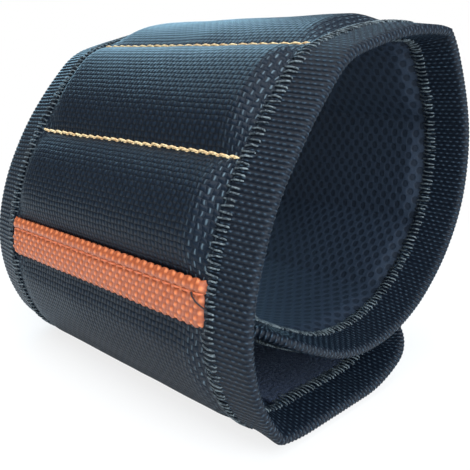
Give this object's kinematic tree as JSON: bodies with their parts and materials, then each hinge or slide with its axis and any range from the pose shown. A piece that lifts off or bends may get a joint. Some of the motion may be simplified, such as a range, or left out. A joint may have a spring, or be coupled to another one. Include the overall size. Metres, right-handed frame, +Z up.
{
  "type": "magnetic wristband",
  "caption": "Padded wristband of dark woven fabric, wrapped into a loop: quilted columns over magnets, taped edges, an orange strip, a mesh lining and a hook-and-loop lap.",
  "frame": {"origin": "on the ground, under the middle of the closed loop", "axes": "+Z up from the flap that the band lies on, +Y along the loop from its near edge to its far edge, +X towards the side where the inner tab turns in"},
  "size_m": [0.0834, 0.09, 0.0831],
  "materials": {
    "cover": "coarse plain weave",
    "lining": "spacer mesh with small holes",
    "tape": "ribbed woven tape",
    "fastener": "hook and loop pile",
    "strip": "coarse plain weave",
    "thread": "thick twisted thread",
    "magnet": "nickel plated"
  },
  "bodies": {
    "flap": {"flap_cover": "cover", "flap_hook": "fastener", "flap_tape": "tape"},
    "cuff_left": {"cuff_left_cover": "cover", "cuff_left_lining": "lining", "cuff_left_tape_near": "tape", "cuff_left_tape_far": "tape", "orange_strip": "strip"},
    "column_a": {"column_a_cover": "cover", "column_a_lining": "lining", "column_a_tape_near": "tape", "column_a_tape_far": "tape", "column_a_magnet_1": "magnet", "column_a_magnet_2": "magnet", "column_a_magnet_3": "magnet", "stitch_line_1": "thread"},
    "column_b": {"column_b_cover": "cover", "column_b_lining": "lining", "column_b_tape_near": "tape", "column_b_tape_far": "tape", "column_b_magnet_1": "magnet", "column_b_magnet_2": "magnet", "column_b_magnet_3": "magnet", "stitch_line_2": "thread"},
    "column_c": {"column_c_cover": "cover", "column_c_lining": "lining", "column_c_tape_near": "tape", "column_c_tape_far": "tape", "column_c_magnet_1": "magnet", "column_c_magnet_2": "magnet", "column_c_magnet_3": "magnet", "stitch_line_3": "thread"},
    "column_d": {"column_d_cover": "cover", "column_d_lining": "lining", "column_d_tape_near": "tape", "column_d_tape_far": "tape", "column_d_magnet_1": "magnet", "column_d_magnet_2": "magnet", "column_d_magnet_3": "magnet", "stitch_line_4": "thread"},
    "column_e": {"column_e_cover": "cover", "column_e_lining": "lining", "column_e_tape_near": "tape", "column_e_tape_far": "tape", "column_e_magnet_1": "magnet", "column_e_magnet_2": "magnet", "column_e_magnet_3": "magnet", "stitch_line_5": "thread"},
    "cuff_right": {"cuff_right_cover": "cover", "cuff_right_lining": "lining", "cuff_right_tape_near": "tape", "cuff_right_tape_far": "tape"},
    "tab_root": {"tab_root_loop": "fastener", "tab_root_lining": "lining", "tab_root_tape_near": "tape", "tab_root_tape_far": "tape"},
    "tab_end": {"tab_end_loop": "fastener", "tab_end_lining": "lining", "tab_end_tape": "tape"}
  },
  "joints": [
    {"name": "open", "type": "hinge", "parent": "flap", "child": "cuff_left", "pos_m": [-0.03625, 0, 0.00969], "axis": [0, -1, 0], "range_deg": [0, 70]},
    {"name": "bend_a", "type": "hinge", "parent": "cuff_left", "child": "column_a", "pos_m": [-0.03984, 0, 0.03553], "axis": [0, -1, 0], "range_deg": [0, 31]},
    {"name": "bend_b", "type": "hinge", "parent": "column_a", "child": "column_b", "pos_m": [-0.03084, 0, 0.05664], "axis": [0, -1, 0], "range_deg": [0, 22.6]},
    {"name": "bend_c", "type": "hinge", "parent": "column_b", "child": "column_c", "pos_m": [-0.01104, 0, 0.0766], "axis": [0, -1, 0], "range_deg": [0, 36.6]},
    {"name": "bend_d", "type": "hinge", "parent": "column_c", "child": "column_d", "pos_m": [0.01952, 0, 0.08124], "axis": [0, -1, 0], "range_deg": [0, 55.5]},
    {"name": "bend_e", "type": "hinge", "parent": "column_d", "child": "column_e", "pos_m": [0.03746, 0, 0.06003], "axis": [0, -1, 0], "range_deg": [0, 42.9]},
    {"name": "bend_cuff", "type": "hinge", "parent": "column_e", "child": "cuff_right", "pos_m": [0.03505, 0, 0.03214], "axis": [0, -1, 0], "range_deg": [0, 39.4]},
    {"name": "bend_tab", "type": "hinge", "parent": "cuff_right", "child": "tab_root", "pos_m": [0.01893, 0, 0.01629], "axis": [0, -1, 0], "range_deg": [0, 40.8]},
    {"name": "bend_tab_end", "type": "hinge", "parent": "tab_root", "child": "tab_end", "pos_m": [-0.0172, 0, 0.0155], "axis": [0, -1, 0], "range_deg": [0, 28.2]}
  ],
  "couplings": [
    {"joint": "bend_a", "follows": "open", "ratio": 0.4},
    {"joint": "bend_b", "follows": "open", "ratio": 0.28},
    {"joint": "bend_c", "follows": "open", "ratio": 0.48},
    {"joint": "bend_d", "follows": "open", "ratio": 0.75},
    {"joint": "bend_e", "follows": "open", "ratio": 0.57},
    {"joint": "bend_cuff", "follows": "open", "ratio": 0.52},
    {"joint": "bend_tab", "follows": "open", "ratio": 0.54},
    {"joint": "bend_tab_end", "follows": "open", "ratio": 0.36}
  ]
}
